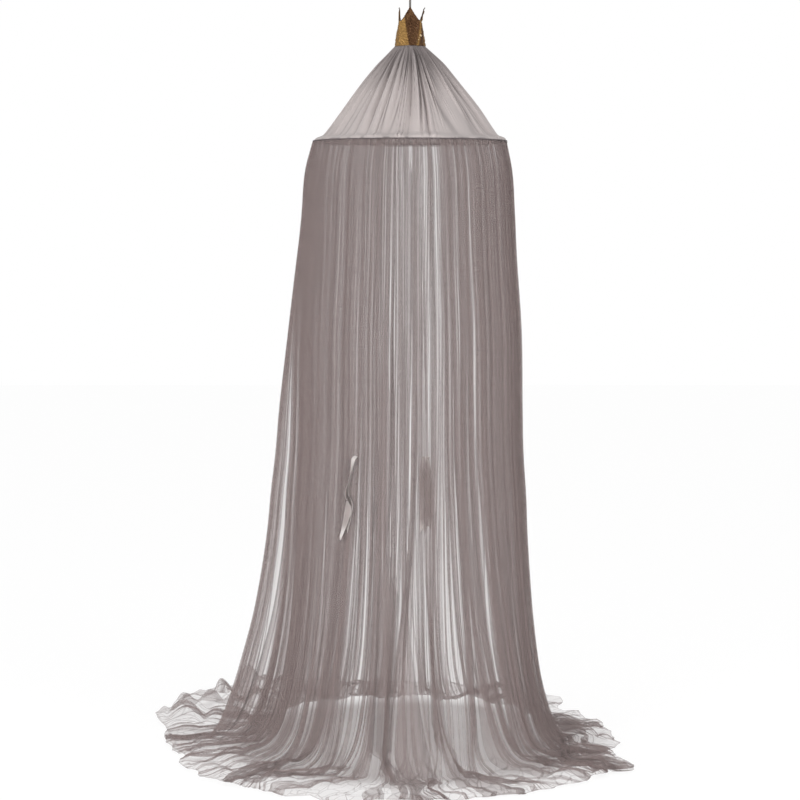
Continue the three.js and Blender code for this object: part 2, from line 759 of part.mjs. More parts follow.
const crownLiningIn = -(crownShellThickness / 2 + seatGap + crownLiningThickness / 2);
add("crown_shell", crownWall(0, crownShellThickness, 0), gold);
add("crown_lining", crownWall(crownLiningIn, crownLiningThickness, crownLiningMargin), brownBacking);
add("crown_seam_strip", crownStrip(), gold);

add("cone_cover", coneCover(), coneCloth);
add("cone_lining", coneLining(), coneCloth);

for (let number = 1; number <= hoopRodCount; number += 1) {
  add(`hoop_rod_${number}`, hoopRod(number), steel);
  add(`hoop_sleeve_${number}`, hoopSleeve(number), plastic);
}
add("hoop_casing", hoopCasing(), coneCloth);
add("seam_piping", seamPiping(), darkThread);
add("net_heading_tape", headingTape(), netCloth);

add("net_back", netSolid(backHalfGapDeg, 360 - backHalfGapDeg, backFoldCount, false), netCloth);
const leftLeaf = [-leftLeafOuterDeg, -leafInnerDeg, leftLeafFoldCount];
const rightLeaf = [leafInnerDeg, rightLeafOuterDeg, rightLeafFoldCount];
add("net_front_left", netSolid(...leftLeaf, true), netCloth);
add("net_front_right", netSolid(...rightLeaf, true), netCloth);

const leftRibbonDeg = leafFoldDeg(...leftLeaf, leftRibbonFoldIndex, crestShare);
const rightRibbonDeg = leafFoldDeg(...rightLeaf, rightRibbonFoldIndex, valleyShare);
add("tie_ribbon_left", tieRibbon(leftRibbonDeg, 1), satin);
add("tie_ribbon_right", tieRibbon(rightRibbonDeg, -1), satin);

export default part;
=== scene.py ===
# Bed crown canopy in a plain studio: a net skirt on a hoop, a cloth cone and a gold crown, hung by a cord.
# Metres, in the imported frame: the ceiling plate's face is at z = 0 and the floor at z = -2.44.
import math

import bpy
import numpy as np
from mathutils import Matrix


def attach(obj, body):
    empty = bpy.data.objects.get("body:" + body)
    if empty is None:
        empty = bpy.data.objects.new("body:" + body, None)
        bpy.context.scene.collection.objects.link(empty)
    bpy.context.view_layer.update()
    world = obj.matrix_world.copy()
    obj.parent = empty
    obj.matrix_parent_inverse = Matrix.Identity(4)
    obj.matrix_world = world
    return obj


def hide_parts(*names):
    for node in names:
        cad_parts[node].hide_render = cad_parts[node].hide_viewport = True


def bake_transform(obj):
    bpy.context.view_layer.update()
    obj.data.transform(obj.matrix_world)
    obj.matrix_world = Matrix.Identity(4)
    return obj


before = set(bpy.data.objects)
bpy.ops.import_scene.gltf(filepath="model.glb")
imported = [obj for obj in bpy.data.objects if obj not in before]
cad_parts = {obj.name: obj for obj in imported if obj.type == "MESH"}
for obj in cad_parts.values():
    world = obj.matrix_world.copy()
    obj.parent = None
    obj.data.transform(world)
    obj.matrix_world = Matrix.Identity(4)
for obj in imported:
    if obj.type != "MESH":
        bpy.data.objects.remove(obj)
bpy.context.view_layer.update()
scene = bpy.context.scene

FLOOR_Z = -2.44
HOOP_Z = -0.54
HOOP_RADIUS = 0.294
CROWN_BASE_Z = -0.247


# Helpers

def linear(*srgb):
    """A colour written in 0 to 255 as the eye sees it, as Blender's linear values."""
    values = [c / 255 for c in srgb]
    return tuple(c / 12.92 if c <= 0.04045 else ((c + 0.055) / 1.055) ** 2.4 for c in values) + (1.0,)


def smoothstep(low, high, x):
    t = np.clip((np.asarray(x, float) - low) / (high - low), 0, 1)
    return t * t * (3 - 2 * t)


def wave_noise(seed, count, low, high):
    """A smooth function of two variables, about -1 to 1: a sum of sines with frequencies from low to high."""
    source = np.random.default_rng(seed)
    sizes = np.exp(source.uniform(math.log(low), math.log(high), count))
    turns = source.uniform(0, 2 * math.pi, count)
    phases = source.uniform(0, 2 * math.pi, count)
    scale = 1.6 / math.sqrt(count * 2)

    def value(x, y):
        total = 0
        for f, turn, p in zip(sizes, turns, phases):
            total = total + np.sin(f * (math.cos(turn) * x + math.sin(turn) * y) + p)
        return scale * total

    return value


def ring_noise(seed, low, high, count=9):
    """Noise round a ring that closes on itself, with whole numbers of waves from low to high."""
    source = np.random.default_rng(seed)
    waves = source.integers(low, high, count)
    phases = source.uniform(0, 2 * math.pi, count)
    drifts = source.uniform(-1, 1, count)
    scale = 1.6 / math.sqrt(count * 2)

    def value(turn, down=0.0):
        return scale * sum(np.sin(n * turn + p + d * down) for n, p, d in zip(waves, phases, drifts))

    return value


def mesh_object(name, points, faces):
    mesh = bpy.data.meshes.new(name)
    mesh.from_pydata([tuple(p) for p in points], [], faces)
    mesh.update()
    mesh.shade_smooth()
    piece = bpy.data.objects.new(name, mesh)
    scene.collection.objects.link(piece)
    return piece


def grid_faces(rows, columns, wrap=False):
    """Quads of a grid of rows by columns points."""
    across = columns if wrap else columns - 1
    row, column = np.meshgrid(np.arange(rows - 1), np.arange(across), indexing="ij")
    after = (column + 1) % columns
    a, b = row * columns + column, row * columns + after
    quads = np.stack([a, a + columns, b + columns, b], axis=-1)
    return quads.reshape(-1, 4).tolist()


def closing_faces(rows, columns):
    """Quads from the last ring of points back to the first one."""
    last = (rows - 1) * columns
    return [[last + i, i, (i + 1) % columns, last + (i + 1) % columns] for i in range(columns)]


def grid_object(name, points, wrap=False):
    """A sheet over rows of points; wrap closes it round its columns."""
    rows, columns = points.shape[:2]
    return mesh_object(name, points.reshape(-1, 3), grid_faces(rows, columns, wrap))


def point_values(piece, name, values):
    attribute = piece.data.attributes.new(name, "FLOAT", "POINT")
    attribute.data.foreach_set("value", np.asarray(values, np.float32).ravel())


def point_vectors(piece, name, values):
    attribute = piece.data.attributes.new(name, "FLOAT_VECTOR", "POINT")
    attribute.data.foreach_set("vector", np.asarray(values, np.float32).ravel())


def around(radius, degrees, z):
    """Points round the axis; degrees are from the front and positive to the right."""
    angle = np.radians(degrees)
    radius, z = np.broadcast_arrays(radius, z)
    return np.stack([radius * np.sin(angle), -radius * np.cos(angle), z + 0 * angle], axis=-1)


def tube(name, points, radii, closed):
    """A tube along points; radii has a row for each point, of a value for each side. Its ends are capped."""
    count, sides = radii.shape
    if closed:
        tangents = np.roll(points, -1, 0) - np.roll(points, 1, 0)
    else:
        tangents = np.gradient(points, axis=0)
    tangents /= np.linalg.norm(tangents, axis=1)[:, None]
    first = np.cross(tangents[0], (0.3, 0.9, 0.2))
    normals = []
    for tangent in tangents:
        first = first - tangent * first.dot(tangent)
        first /= np.linalg.norm(first)
        normals.append(first)
    normals = np.array(normals)
    others = np.cross(tangents, normals)
    angle = np.linspace(0, 2 * math.pi, sides, endpoint=False)
    ring = np.cos(angle)[None, :, None] * normals[:, None] + np.sin(angle)[None, :, None] * others[:, None]
    shell = points[:, None] + ring * radii[:, :, None]
    faces = grid_faces(count, sides, True)
    if closed:
        faces += closing_faces(count, sides)
    else:
        last = (count - 1) * sides
        faces += [list(range(sides))[::-1], list(range(last, last + sides))]
    return mesh_object(name, shell.reshape(-1, 3), faces)


# Materials

def new_material(name, color, roughness, metallic=0.0):
    material = bpy.data.materials.new(name)
    material.use_nodes = True
    principled = material.node_tree.nodes["Principled BSDF"]
    principled.inputs["Base Color"].default_value = linear(*color)
    principled.inputs["Roughness"].default_value = roughness
    principled.inputs["Metallic"].default_value = metallic
    return material, material.node_tree, principled


def add_node(tree, kind, inputs=None, **settings):
    made = tree.nodes.new(kind)
    for key, value in settings.items():
        setattr(made, key, value)
    for key, value in (inputs or {}).items():
        if isinstance(value, bpy.types.NodeSocket):
            tree.links.new(value, made.inputs[key])
        else:
            made.inputs[key].default_value = value
    return made


def math_node(tree, operation, a, b=0.0, c=0.0, clamp=False):
    made = add_node(tree, "ShaderNodeMath", {0: a, 1: b, 2: c}, operation=operation, use_clamp=clamp)
    return made.outputs[0]


def vector_node(tree, operation, a, b):
    return add_node(tree, "ShaderNodeVectorMath", {0: a, 1: b}, operation=operation).outputs[0]


def read_values(tree, name, output="Fac"):
    """The point values of that name."""
    return add_node(tree, "ShaderNodeAttribute", attribute_name=name).outputs[output]


def noise(tree, vector, scale, detail=3.0, roughness=0.55):
    inputs = {"Vector": vector, "Scale": scale, "Detail": detail, "Roughness": roughness}
    return add_node(tree, "ShaderNodeTexNoise", inputs).outputs["Fac"]


def mix_color(tree, factor, a, b):
    made = add_node(tree, "ShaderNodeMix", data_type="RGBA")
    for socket, value in ((made.inputs[0], factor), (made.inputs[6], a), (made.inputs[7], b)):
        if isinstance(value, bpy.types.NodeSocket):
            tree.links.new(value, socket)
        else:
            socket.default_value = value
    return made.outputs[2]


def stretch(tree, scale):
    """Object coordinates, scaled along each axis."""
    place = add_node(tree, "ShaderNodeTexCoord").outputs["Object"]
    return add_node(tree, "ShaderNodeMapping", {"Vector": place, "Scale": scale}).outputs[0]


def bump(tree, principled, height, strength, distance):
    made = add_node(tree, "ShaderNodeBump", {"Height": height, "Strength": strength, "Distance": distance})
    tree.links.new(made.outputs[0], principled.inputs["Normal"])


def mix_shader(tree, factor, a, b):
    return add_node(tree, "ShaderNodeMixShader", {0: factor, 1: a.outputs[0], 2: b.outputs[0]})


def base_color(tree, principled, factor, low, high):
    """Base colour from low to high, as factor goes from 0 to 1."""
    tree.links.new(mix_color(tree, factor, linear(*low), linear(*high)), principled.inputs["Base Color"])


def grained_material(name, color, roughness, grain, low, high, detail=2.0, metallic=0.0):
    """A material whose colour goes from low to high over a grain, which comes back too."""
    material, tree, principled = new_material(name, color, roughness, metallic)
    pattern = noise(tree, stretch(tree, grain), 1.0, detail)
    base_color(tree, principled, pattern, low, high)
    return material, tree, principled, pattern


def seen_directly(tree):
    """1 for what the camera sees and what is mirrored, 0 for what only lights other things."""
    rays = add_node(tree, "ShaderNodeLightPath").outputs
    return math_node(tree, "MAXIMUM", rays["Is Camera Ray"], rays["Is Glossy Ray"])


def scaled(color, factor):
    return tuple(min(c * factor, 1) for c in linear(*color)[:3]) + (1.0,)


def crinkle_lines(tree, place):
    """Crinkles: the edges of long bent facets, in two sizes; 1 on an edge."""
    bent = add_node(tree, "ShaderNodeTexNoise", {"Vector": place, "Scale": 0.35, "Detail": 2.0})
    bent = vector_node(tree, "MULTIPLY", bent.outputs["Color"], (2.6, 2.6, 0))
    bent = vector_node(tree, "ADD", place, bent)
    lines = 0.0
    for size, sharpness, share in ((1.0, 20.0, 1.0), (2.3, 13.0, 0.75)):
        cells = {"Vector": bent, "Scale": size}
        facet = add_node(
            tree, "ShaderNodeTexVoronoi", cells, feature="DISTANCE_TO_EDGE", voronoi_dimensions="2D"
        )
        line = math_node(tree, "MULTIPLY_ADD", facet.outputs["Distance"], -sharpness, 1.0, True)
        lines = math_node(tree, "MAXIMUM", lines, math_node(tree, "MULTIPLY", line, share))
    return lines


def net_material(name, color, alpha):
    """Sheer net. The point values: crease is 1 where the net turns over in a fold or at its rim, cloth is the
    place on the cloth and how flat it lies, and floor is the place for the crinkles of what lies flat."""
    material, tree, principled = new_material(name, color, 0.9)
    crease = read_values(tree, "crease")
    cloth = read_values(tree, "cloth", "Vector")
    floor = read_values(tree, "floor", "Vector")
    lying = add_node(tree, "ShaderNodeSeparateXYZ", {0: cloth}).outputs[2]
    place = add_node(tree, "ShaderNodeMapping", {"Vector": cloth, "Scale": (55, 0.9, 0)}).outputs[0]
    streak = noise(tree, place, 1.0, 3.0)
    crinkles = math_node(tree, "MULTIPLY", crinkle_lines(tree, floor), lying)
    crease = math_node(tree, "MAXIMUM", crease, crinkles)
    # Painted shade: the colour is darker along the creases, the crinkles of what lies flat and the hem, and
    # lighter between them; the streaks are random tone
    painted_shade_color, pale = scaled(color, 0.72), scaled(color, 1.35)
    shade = mix_color(tree, math_node(tree, "MULTIPLY_ADD", crease, -0.45, 0.75), painted_shade_color, pale)
    tree.links.new(mix_color(tree, streak, shade, linear(*color)), principled.inputs["Base Color"])
    principled.inputs["Sheen Weight"].default_value = 0.15
    principled.inputs["Sheen Roughness"].default_value = 0.5
    principled.inputs["Specular IOR Level"].default_value = 0.2
    through = add_node(tree, "ShaderNodeBsdfTranslucent", {"Color": shade})
    solid = mix_shader(tree, 0.42, principled, through)
    # It hides alpha on average: more in its streaks, much more in its creases, a little more where it lies
    opacity = math_node(tree, "MULTIPLY_ADD", streak, 0.2, alpha - 0.1)
    opacity = math_node(tree, "MULTIPLY_ADD", crease, 0.24, opacity)
    opacity = math_node(tree, "MULTIPLY_ADD", lying, 0.045, opacity, True)
    # A lamp's light comes through the holes more than the eye sees through them, as the threads scatter it
    lit = add_node(tree, "ShaderNodeLightPath").outputs["Is Camera Ray"]
    opacity = math_node(tree, "MULTIPLY", opacity, math_node(tree, "MULTIPLY_ADD", lit, 0.5, 0.5))
    clear = add_node(tree, "ShaderNodeBsdfTransparent")
    seen = mix_shader(tree, opacity, clear, solid)
    tree.links.new(seen.outputs[0], tree.nodes["Material Output"].inputs["Surface"])
    return material


# The net's skirt: one cloth round the hoop, open at the front. A place on it is its angle at the top, how far
# down the wall it is (fall), and how far out over the floor, towards its rim (reach). Both go from 0 to 1.

NET_TOP_Z = -0.5475
TOP_RADII = {0: 0.2990, -1: 0.302, 1: 0.302}  # of the back and of the two front leaves
OVER_HOOP = [(0.3004, -0.5408), (0.3024, -0.5432)]  # radius and height on the way from the seam
BACK_DEG = (66, 286)
LEFT_DEG = (-97, -0.1)
RIGHT_DEG = (0.1, 76)
FALLS = [0, 0.04, 0.11, 0.18, 0.31, 0.44, 0.51, 0.58, 0.64, 0.71, 0.78, 0.85, 0.88, 0.92, 1]
FLARES = [0, 0.10, 0.155, 0.19, 0.28, 0.302, 0.32, 0.37, 0.395, 0.44, 0.50, 0.59, 0.64, 0.74, 1]
# Where the net lands on the floor: degrees and radius
LEAF_LAND_DEGREES = [-110, -97, -90, -76, -45, -15, 0, 15, 45, 76, 90]
LEAF_LAND_RADII = [0.515, 0.512, 0.500, 0.488, 0.492, 0.497, 0.500, 0.497, 0.492, 0.492, 0.490]
BACK_LAND_DEGREES = [0, 62, 106, 127, 137, 160, 180]
BACK_LAND_RADII = [0.437, 0.437, 0.440, 0.470, 0.505, 0.520, 0.520]
# Where its rim lies: degrees and radius
RIM_DEGREES = [
    -180, -150, -134, -116, -98, -87, -77, -57, -40, -27, -10, 0, 14,
    30, 37, 47, 57, 66, 76, 88, 100, 114, 127, 137, 160, 180,
]
RIM_RADII = [
    0.88, 0.948, 0.968, 0.905, 0.82, 0.768, 0.752, 0.793, 0.812, 0.803, 0.79, 0.77, 0.79,
    0.764, 0.766, 0.765, 0.768, 0.715, 0.66, 0.655, 0.652, 0.67, 0.676, 0.765, 0.865, 0.88,
]

# How far the folds lean sideways, in degrees: where the cloth lands, and at its rim
LEAN_PLACES = [-180, -150, -120, -90, -60, -40, -20, -10, 0, 8, 15, 21, 31, 43, 58, 75, 95, 118, 150, 180]
LAND_LEANS = [0, 0, 0, -1, -5, -5, -3, -1, 0, 0, 2, 6, 7, 6, 3, -2, -6, -4, 0, 0]
RIM_LEANS = [0, 2, 2, 0, -4, -8, -8, -3, 0, 2, 8, 14, 16, 12, 3, -10, -24, -18, -6, 0]
# How much cloth there is round the hoop, and places where there is less: middle, width, how much less
CLOTH_PLACES = [-180, -140, -110, -70, -45, -28, -16, -11, 0, 15, 22, 28, 45, 70, 110, 150, 180]
CLOTH_SHARES = [0.8, 0.9, 1.2, 1.45, 1.4, 1.35, 1.3, 0.95, 0.95, 1.0, 1.4, 1.6, 1.65, 1.4, 1.2, 0.9, 0.8]
THIN_PLACES = [
    (-91, 9, 1.0), (-9.5, 0.9, 0.8), (-4.5, 0.8, 0.4), (0.3, 0.9, 0.5), (7, 0.8, 0.4), (12.5, 1.3, 0.85),
]
# One large fold stands out on the left: its middle, its width, and how far out it is at each fall
FIN_DEG, FIN_WIDTH = -86, 5.5
FIN_FALLS = [0, 0.1, 0.2, 0.31, 0.44, 0.51, 0.64, 0.78, 0.88, 1]
FIN_OUTS = [0, 0, 0.011, 0.022, 0.047, 0.055, 0.067, 0.091, 0.115, 0.128]
# The folds draw together and part again on the way down. Each wave: how many round the hoop, how much it
# turns on the way down, and its swing in degrees at the hoop, halfway, on the floor and at the rim
SWAYS = [
    (7, 2.0, 0.0, 0.3, 1.6, 4.0), (11, -3.0, 0.0, 0.4, 2.0, 3.0), (17, 4.0, 0.0, 0.5, 2.6, 2.0),
    (23, -5.0, 0.1, 0.5, 2.3, 1.4), (31, 6.0, 0.15, 0.45, 1.7, 0.9), (43, -8.0, 0.15, 0.3, 0.9, 0.5),
    (59, 9.0, 0.15, 0.2, 0.4, 0.3), (83, -11.0, 0.1, 0.12, 0.2, 0.2),
]


def curve_through(xs, ys):
    """Smooth between the points, with slopes that don't overshoot."""
    xs, ys = np.array(xs, float), np.array(ys, float)
    steps = np.diff(ys) / np.diff(xs)
    slopes = np.concatenate([[steps[0]], (steps[:-1] + steps[1:]) / 2, [steps[-1]]])
    for i, step in enumerate(steps):
        limit = 3 * abs(step)
        slopes[i] = np.clip(slopes[i], -limit, limit)
        slopes[i + 1] = np.clip(slopes[i + 1], -limit, limit)

    def value(x):
        x = np.clip(np.asarray(x, float), xs[0], xs[-1])
        i = np.clip(np.searchsorted(xs, x) - 1, 0, len(steps) - 1)
        h = xs[i + 1] - xs[i]
        t = (x - xs[i]) / h
        return (
            ys[i] * (1 + 2 * t) * (1 - t) ** 2
            + slopes[i] * h * t * (1 - t) ** 2
            + ys[i + 1] * t * t * (3 - 2 * t)
            + slopes[i + 1] * h * t * t * (t - 1)
        )

    return value


flare_at = curve_through(FALLS, FLARES)
rim_at = curve_through(RIM_DEGREES, RIM_RADII)
land_lean_at = curve_through(LEAN_PLACES, LAND_LEANS)
rim_lean_at = curve_through(LEAN_PLACES, RIM_LEANS)
cloth_at = curve_through(CLOTH_PLACES, CLOTH_SHARES)
leaf_land_at = curve_through(LEAF_LAND_DEGREES, LEAF_LAND_RADII)
back_land_at = curve_through(BACK_LAND_DEGREES, BACK_LAND_RADII)
fin_out_at = curve_through(FIN_FALLS, FIN_OUTS)
landing_line = ring_noise(28, 5, 22)


def wrapped(degrees):
    return (np.asarray(degrees, float) + 180) % 360 - 180


def landing_radius(degrees, side):
    """The radius where the net lands; the back's own line is uneven behind."""
    if side:
        return leaf_land_at(degrees)
    uneven = 0.045 * smoothstep(125, 145, np.abs(degrees)) * landing_line(np.radians(degrees))
    return back_land_at(np.abs(degrees)) * (1 + uneven)


def fin(degrees, fall, side):
    """How far the large fold stands out."""
    return (side < 0) * fin_out_at(fall) * np.exp(-(((degrees - FIN_DEG) / FIN_WIDTH) ** 2))


def cloth_share(degrees):
    """How much cloth there is round the top."""
    share = cloth_at(degrees)
    for middle, width, less in THIN_PLACES:
        share = share * (1 - less * np.exp(-((wrapped(degrees - middle) / width) ** 2)))
    return share


def angle_at(place, fall, reach, side):
    """The angle that the cloth at a place round the top has reached; side is -1 and 1 on the front leaves."""
    place = wrapped(place)
    open_out = smoothstep(0.2, 0.95, reach)
    angle = place + land_lean_at(place) * smoothstep(0.5, 1, fall) * (1 - open_out)
    angle = angle + rim_lean_at(place) * open_out
    turn = np.radians(place)
    down = fall + 0.5 * reach
    # On the wall the front's folds sway most; out on the floor all do, but for a calmer part on the left
    lively = 0.22 + 0.93 * np.exp(-(((place - 4) / 28) ** 2))
    calm = 0.65 * smoothstep(-40, -70, place) * smoothstep(-180, -155, place)
    lively = lively + (1 - calm - lively) * smoothstep(1.02, 1.25, down)
    for number, (waves, twist, *swings) in enumerate(SWAYS):
        swing = np.interp(down, [0, 0.5, 1.0, 1.5], swings) * lively
        angle = angle + swing * np.sin(waves * turn + twist * down + 2.4 * number + 1.7 * side)
    if side:
        # The front leaves cross a little at the middle
        cross = np.exp(-((place / 9) ** 2)) * (1.5 + 4.0 * smoothstep(0.45, 1, fall) - 2 * open_out)
        angle = angle - side * cross * smoothstep(0, 0.1, fall)
    return angle


# Rows of points: up over the hoop, down the wall to CORNER_START, round the corner at the floor, and from
# CORNER_END out to the rim, which is hemmed from HEM_START on. Each row has a fall, a corner and a reach.
CORNER_START, CORNER_END, HEM_START = 0.92, 0.32, 0.985
WALL_SHARES = np.concatenate([np.linspace(0, 0.1, 8)[:-1], np.linspace(0.1, CORNER_START, 38)])
CORNER_SHARES = np.linspace(0, 1, 21)[1:-1]
TRAIN_SHARES = np.concatenate([np.linspace(CORNER_END, 0.97, 40), [HEM_START, 1.0]])
ROWS = [(0.0, 0.0, 0.0)] * len(OVER_HOOP)
ROWS += [(fall, 0.0, 0.0) for fall in WALL_SHARES]
ROWS += [(CORNER_START + (1 - CORNER_START) * c, c, c * CORNER_END) for c in CORNER_SHARES]
ROWS += [(1.0, 1.0, reach) for reach in TRAIN_SHARES]
LENGTH = NET_TOP_Z - FLOOR_Z
PROBE = 0.8  # degrees to each side, to see how the folds have drawn together
OVERHANG = 0.13  # how far a pleat turns over, for its cloth
# How closely the look's streaks and crinkles lie, and how crinkled the net is just above the floor
STREAKS_ROUND, STREAKS_DOWN, STREAKS_OUT = 0.0157, 1.9, 0.25
CRINKLES_ROUND, CRINKLES_OUT, CRINKLES_UP = 9.5, 7.5, 2.2
LOW_CRINKLES = 0.55
crinkle = [wave_noise(seed, 10, 18, 60) for seed in (21, 22, 23)]
ruffle = wave_noise(24, 10, 20, 60)
warps = [(0.026, wave_noise(26, 8, 8, 18)), (0.011, wave_noise(27, 8, 22, 45))]
hem = ring_noise(25, 12, 60)


def gathers_at(middle, fall, reach, side):
    """For pleats by their middles: how tightly they have drawn together, how far they are bundled, and how
    much cloth they have for their width."""
    spread = angle_at(middle + PROBE, fall, reach, side) - angle_at(middle - PROBE, fall, reach, side)
    tight = 1 / np.clip(np.abs(spread / (2 * PROBE)), 0.3, 4)
    # Low on the front the folds draw into bundles, with a plain veil between them
    bundled = np.exp(-(((middle - 4) / 26) ** 2)) * smoothstep(0.45, 0.85, fall)
    gather = (5.6 - 0.7 * flare_at(fall)) * cloth_share(wrapped(middle)) * tight ** (1 + bundled)
    gather = gather * (1 - 0.35 * bundled)
    outer = smoothstep(-45, -75, middle) if side else 0.0
    flat_gather = (1.6 - 0.5 * outer if side else 1.0) * tight**0.7
    gather = gather + (flat_gather - gather) * smoothstep(0.05, 0.7 - 0.35 * outer, reach)
    return tight, bundled, gather


def corner_curve(share, start, bend, end):
    """A quadratic curve from start to end, pulled towards bend."""
    return (1 - share) ** 2 * start + 2 * share * (1 - share) * bend + share * share * end


def cloth_line(index, degrees, fall, corner, reach, side):
    """The line of the cloth without its pleats: radius, height, and how far it lies on the floor."""
    if index < 0:
        radius, z = OVER_HOOP[index]
        return radius + 0 * degrees, z + 0 * degrees, 0.0
    top, land = TOP_RADII[side], landing_radius(degrees, side)
    if corner == 0:
        radius = top + (land - top) * flare_at(fall) + fin(degrees, fall, side)
        return radius, NET_TOP_Z - LENGTH * fall + 0 * degrees, 0.0
    foot = land + fin(degrees, 1, side)
    uneven = 0.012 + 0.03 * smoothstep(120, 150, np.abs(degrees))
    rim = rim_at(degrees) * (1 + uneven * hem(np.radians(degrees)))
    if corner == 1:
        return foot + (rim - foot) * reach, FLOOR_Z + 0 * degrees, 1.0
    high = top + (land - top) * flare_at(CORNER_START) + fin(degrees, CORNER_START, side)
    radius = corner_curve(corner, high, foot - 0.005, foot + (rim - foot) * CORNER_END)
    z = corner_curve(corner, NET_TOP_Z - LENGTH * CORNER_START, FLOOR_Z, FLOOR_Z)
    return radius, z, float(smoothstep(0.2, 1, corner))


def crumpled(x, y, z, lie, reach, side, tight, up):
    """What lies on the floor shifts about, rises in folds and mounds, and heaps up at the back's left."""
    loose_here = lie * smoothstep(0.1, 0.5, reach) * (1 - 0.6 * smoothstep(0.85, 1, reach))
    for number, (size, warp) in enumerate(warps):
        amount = size * loose_here
        x, y = x + amount * warp(x, y), y + amount * warp(y + 3, x - number)
    radius, degrees = np.hypot(x, y), np.degrees(np.arctan2(x, -y))
    lines = [one(x, y) for one in crinkle]
    fold = 0.006 * np.abs(lines[0]) + 0.005 * np.abs(lines[1]) + 0.003 * (1 - np.abs(lines[2]))
    mound = np.clip(tight - 1, 0, 1.5) * 0.016 * (1 - 0.6 * reach)
    heap = 0.050 * smoothstep(-165, -145, degrees) * smoothstep(-95, -115, degrees)
    heap = heap * smoothstep(0.1, 0.6, reach)
    loose = up * 0.6 + fold + mound + heap * (0.6 + 0.4 * ruffle(x * 1.4, y * 1.4))
    lift = 0.003 + 0.008 * abs(side) * smoothstep(20, 55, np.abs(degrees))
    z = z + lie * (lift + loose * (1 - 0.65 * smoothstep(0.9, 1, reach)))
    radius = radius + 0.010 * lines[0] * reach * lie
    return radius, degrees, np.maximum(z, FLOOR_Z + 0.002)


def side_by_side(*values):
    return np.stack(np.broadcast_arrays(*values), 1)


def net_points(side, phase, start, width, overhangs, depths, outwards, swings):
    """Points and point values of every row over the given columns; each column is a place in one pleat."""
    rows, creases, cloths, floors = [], [], [], []
    middle = start + width / 2
    wave = np.sin(2 * math.pi * phase)
    for index, (fall, corner, reach) in enumerate(ROWS, -len(OVER_HOOP)):
        tight, bundled, gather = gathers_at(middle, fall, reach, side)
        over = np.clip(OVERHANG * (gather - 1), 0, 1.5) * overhangs
        along = phase - over * np.sin(4 * math.pi * phase)
        wander = swings[0] * np.sin(3.5 * fall + 6 * swings[1])
        wander = wander + 0.45 * swings[1] * np.sin(8 * fall + 6 * swings[0])
        drift = wander * smoothstep(0.0, 0.35, fall) * (1 + 1.2 * bundled) * width
        degrees = wrapped(angle_at(start + width * along + drift, fall, reach, side))
        radius, z, lie = cloth_line(index, degrees, fall, corner, reach, side)
        # Pleats stand out and in, bundles stand out, and the left leaf hangs before the right one
        depth = depths * ((0.15 if index < 0 else 0.55) + 0.45 * smoothstep(0, 0.08, fall))
        bulge = smoothstep(0.1, 0.8, fall) * (1 - lie)
        bundle = np.clip(tight - 1, -0.5, 1.6) * 0.006 * bulge
        ahead = 0.010 * np.exp(-((middle / 12) ** 2)) * (side < 0) * bulge
        radius = radius + (1 - lie) * (depth * wave + outwards) + bundle + ahead
        turn = np.radians(degrees)
        x, y = radius * np.sin(turn), -radius * np.cos(turn)
        up = depth * (1 + wave) * 0.7
        radius, degrees, z = crumpled(x, y, z, lie, reach, side, tight, up)
        rows.append(around(radius, degrees, z))
        # The cloth turns over where it runs straight in or out, and at its hem; the net material paints shade
        # along these creases
        slope = 1 - over * 4 * math.pi * np.cos(4 * math.pi * phase)
        crease = np.exp(-((slope / 1.1) ** 2)) * np.clip(over * 9, 0, 1) * (1 - 0.3 * lie)
        if reach >= HEM_START:
            crease = np.maximum(crease, 0.75 - 0.4 * smoothstep(120, 150, np.abs(degrees)))
        creases.append(crease)
        flat = max(lie, LOW_CRINKLES * float(smoothstep(0.72, 0.97, fall)))
        down = fall * STREAKS_DOWN + reach * STREAKS_OUT
        cloths.append(side_by_side((start + width * phase) * STREAKS_ROUND, down, flat))
        whole = degrees + 360 * np.round((start - degrees) / 360)
        out = radius * CRINKLES_OUT + z * CRINKLES_UP
        floors.append(side_by_side(np.radians(whole) * CRINKLES_ROUND, out, 0))
    return np.array(rows), np.array(creases), np.array(cloths), np.array(floors)


def net_panel(name, low, high, count, seed, side, steps=9):
    """A length of net in count pleats of uneven widths, from the angle low to high."""
    source = np.random.default_rng(seed)
    weights = source.uniform(0.35, 1.0, count) * np.where(source.random(count) < 0.14, 2.2, 1)
    bounds = low + (high - low) * np.concatenate([[0], np.cumsum(weights) / weights.sum()])
    columns = count * steps + 1
    place = np.arange(columns) / steps
    pleat = np.minimum(place.astype(int), count - 1)
    edge = np.clip(np.minimum(place, count - place), 0, 1)

    def each(low_value, high_value):
        """A value for each pleat, eased from one pleat's middle to the next and to nothing at the edges."""
        values = source.uniform(low_value, high_value, count)
        middle = np.clip(place - 0.5, 0, count - 1)
        lower = np.floor(middle).astype(int)
        share = middle - lower
        return edge * (values[lower] * (1 - share) + values[np.minimum(lower + 1, count - 1)] * share)

    points, creases, cloths, floors = net_points(
        side,
        place - pleat,
        bounds[pleat],
        np.diff(bounds)[pleat],
        each(0.5, 1.6),
        each(0.0022, 0.0075),
        each(-0.003, 0.003),
        (each(-0.9, 0.9), each(-0.9, 0.9)),
    )
    piece = grid_object(name, points)
    point_values(piece, "crease", creases)
    point_vectors(piece, "cloth", cloths)
    point_vectors(piece, "floor", floors)
    return piece


net_look = net_material("net_look", (157, 143, 141), 0.19)
back = net_panel("net_back_cloth", *BACK_DEG, 170, 31, 0)
left_leaf = net_panel("net_left_cloth", *LEFT_DEG, 120, 32, -1)
right_leaf = net_panel("net_right_cloth", *RIGHT_DEG, 96, 33, 1)
for piece, node, body in (
    (back, "net_back", "canopy"),
    (left_leaf, "net_front_left", "left_leaf"),
    (right_leaf, "net_front_right", "right_leaf"),
):
    piece.data.materials.append(net_look)
    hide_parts(node)
    if body == "canopy":
        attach(piece, body)
    else:
        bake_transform(piece)


# The cone: gathered cloth between the crown and the hoop

